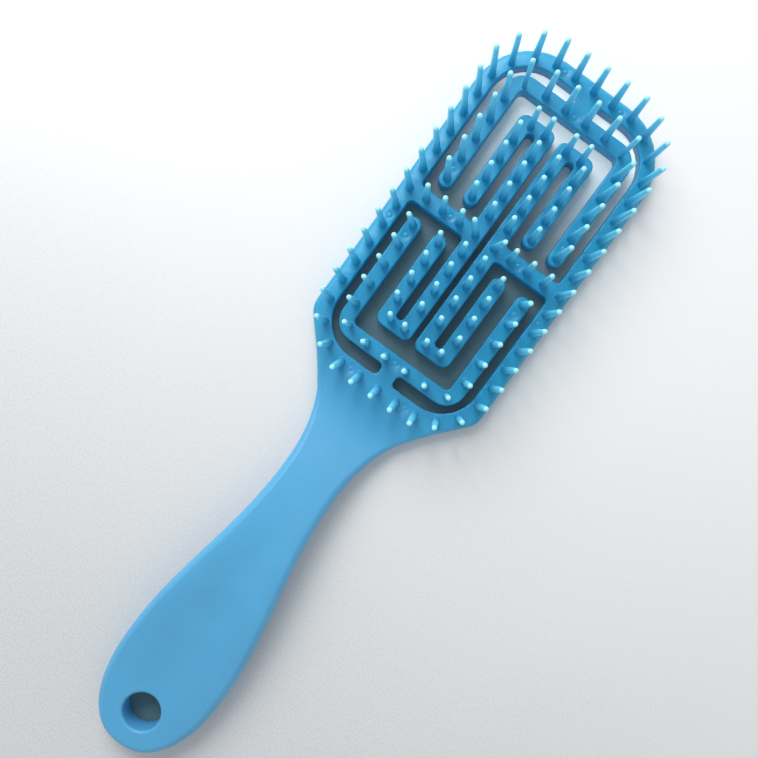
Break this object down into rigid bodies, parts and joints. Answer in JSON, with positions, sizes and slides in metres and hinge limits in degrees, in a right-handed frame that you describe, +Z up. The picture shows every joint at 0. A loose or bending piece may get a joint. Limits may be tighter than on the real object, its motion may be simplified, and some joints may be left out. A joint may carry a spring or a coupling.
{
  "type": "hair brush",
  "caption": "Vented plastic hair brush: a flat paddle head with a labyrinth of springy pin-bearing arms, and a broad arched handle with a hang hole.",
  "frame": {"origin": "on the table, under the middle of the brush's overall box", "axes": "+Y from the handle's end to the head's tip, +Z up out of the pin side, +X to the right seen from the pins with the head away"},
  "size_m": [0.0586, 0.234, 0.0188],
  "materials": {
    "handle": "satin moulded polypropylene, mid blue",
    "head_frame": "satin moulded polypropylene, mid blue",
    "left_crossbar": "satin moulded polypropylene, mid blue",
    "right_crossbar": "satin moulded polypropylene, mid blue",
    "upper_loop_bar": "satin moulded polypropylene, mid blue",
    "upper_loop_left_leg": "satin moulded polypropylene, mid blue",
    "upper_loop_right_leg": "satin moulded polypropylene, mid blue",
    "lower_loop_bar": "satin moulded polypropylene, mid blue",
    "lower_loop_left_leg": "satin moulded polypropylene, mid blue",
    "lower_loop_right_leg": "satin moulded polypropylene, mid blue",
    "left_upper_spine": "satin moulded polypropylene, mid blue",
    "right_upper_spine": "satin moulded polypropylene, mid blue",
    "left_lower_spine": "satin moulded polypropylene, mid blue",
    "right_lower_spine": "satin moulded polypropylene, mid blue",
    "left_upper_finger": "satin moulded polypropylene, mid blue",
    "right_upper_finger": "satin moulded polypropylene, mid blue",
    "left_lower_finger": "satin moulded polypropylene, mid blue",
    "right_lower_finger": "satin moulded polypropylene, mid blue"
  },
  "bodies": {
    "moulding": {"handle": "handle", "head_frame": "head_frame", "left_crossbar": "left_crossbar", "right_crossbar": "right_crossbar"},
    "upper_loop": {"upper_loop_bar": "upper_loop_bar"},
    "upper_left_leg": {"upper_loop_left_leg": "upper_loop_left_leg"},
    "upper_right_leg": {"upper_loop_right_leg": "upper_loop_right_leg"},
    "left_upper_spine_arm": {"left_upper_spine": "left_upper_spine"},
    "left_upper_finger_arm": {"left_upper_finger": "left_upper_finger"},
    "right_upper_spine_arm": {"right_upper_spine": "right_upper_spine"},
    "right_upper_finger_arm": {"right_upper_finger": "right_upper_finger"},
    "lower_loop": {"lower_loop_bar": "lower_loop_bar"},
    "lower_left_leg": {"lower_loop_left_leg": "lower_loop_left_leg"},
    "lower_right_leg": {"lower_loop_right_leg": "lower_loop_right_leg"},
    "left_lower_spine_arm": {"left_lower_spine": "left_lower_spine"},
    "left_lower_finger_arm": {"left_lower_finger": "left_lower_finger"},
    "right_lower_spine_arm": {"right_lower_spine": "right_lower_spine"},
    "right_lower_finger_arm": {"right_lower_finger": "right_lower_finger"}
  },
  "joints": [
    {"name": "upper_loop_flex", "type": "hinge", "parent": "moulding", "child": "upper_loop", "pos_m": [0, 0.11125, 0.00215], "axis": [1, 0, 0], "range_deg": [-5, 5], "stiffness_Nm_per_rad": 0.5},
    {"name": "upper_left_leg_flex", "type": "hinge", "parent": "upper_loop", "child": "upper_left_leg", "pos_m": [-0.0192, 0.10085, 0.00215], "axis": [1, 0, 0], "range_deg": [-6, 6], "stiffness_Nm_per_rad": 0.3},
    {"name": "upper_right_leg_flex", "type": "hinge", "parent": "upper_loop", "child": "upper_right_leg", "pos_m": [0.0192, 0.10085, 0.00215], "axis": [1, 0, 0], "range_deg": [-6, 6], "stiffness_Nm_per_rad": 0.3},
    {"name": "left_upper_spine_flex", "type": "hinge", "parent": "moulding", "child": "left_upper_spine_arm", "pos_m": [-0.00323, 0.06535, 0.00215], "axis": [1, 0, 0], "range_deg": [-5, 5], "stiffness_Nm_per_rad": 0.5},
    {"name": "left_upper_finger_flex", "type": "hinge", "parent": "left_upper_spine_arm", "child": "left_upper_finger_arm", "pos_m": [-0.0104, 0.09325, 0.00215], "axis": [1, 0, 0], "range_deg": [-6, 6], "stiffness_Nm_per_rad": 0.3},
    {"name": "right_upper_spine_flex", "type": "hinge", "parent": "moulding", "child": "right_upper_spine_arm", "pos_m": [0.00323, 0.06535, 0.00215], "axis": [1, 0, 0], "range_deg": [-5, 5], "stiffness_Nm_per_rad": 0.5},
    {"name": "right_upper_finger_flex", "type": "hinge", "parent": "right_upper_spine_arm", "child": "right_upper_finger_arm", "pos_m": [0.0104, 0.09325, 0.00215], "axis": [1, 0, 0], "range_deg": [-6, 6], "stiffness_Nm_per_rad": 0.3},
    {"name": "lower_loop_flex", "type": "hinge", "parent": "moulding", "child": "lower_loop", "pos_m": [0, 0.01415, 0.00215], "axis": [1, 0, 0], "range_deg": [-5, 5], "stiffness_Nm_per_rad": 0.5},
    {"name": "lower_left_leg_flex", "type": "hinge", "parent": "lower_loop", "child": "lower_left_leg", "pos_m": [-0.0192, 0.02455, 0.00215], "axis": [1, 0, 0], "range_deg": [-6, 6], "stiffness_Nm_per_rad": 0.3},
    {"name": "lower_right_leg_flex", "type": "hinge", "parent": "lower_loop", "child": "lower_right_leg", "pos_m": [0.0192, 0.02455, 0.00215], "axis": [1, 0, 0], "range_deg": [-6, 6], "stiffness_Nm_per_rad": 0.3},
    {"name": "left_lower_spine_flex", "type": "hinge", "parent": "moulding", "child": "left_lower_spine_arm", "pos_m": [-0.00323, 0.06005, 0.00215], "axis": [1, 0, 0], "range_deg": [-5, 5], "stiffness_Nm_per_rad": 0.5},
    {"name": "left_lower_finger_flex", "type": "hinge", "parent": "left_lower_spine_arm", "child": "left_lower_finger_arm", "pos_m": [-0.0104, 0.03215, 0.00215], "axis": [1, 0, 0], "range_deg": [-6, 6], "stiffness_Nm_per_rad": 0.3},
    {"name": "right_lower_spine_flex", "type": "hinge", "parent": "moulding", "child": "right_lower_spine_arm", "pos_m": [0.00323, 0.06005, 0.00215], "axis": [1, 0, 0], "range_deg": [-5, 5], "stiffness_Nm_per_rad": 0.5},
    {"name": "right_lower_finger_flex", "type": "hinge", "parent": "right_lower_spine_arm", "child": "right_lower_finger_arm", "pos_m": [0.0104, 0.03215, 0.00215], "axis": [1, 0, 0], "range_deg": [-6, 6], "stiffness_Nm_per_rad": 0.3}
  ]
}
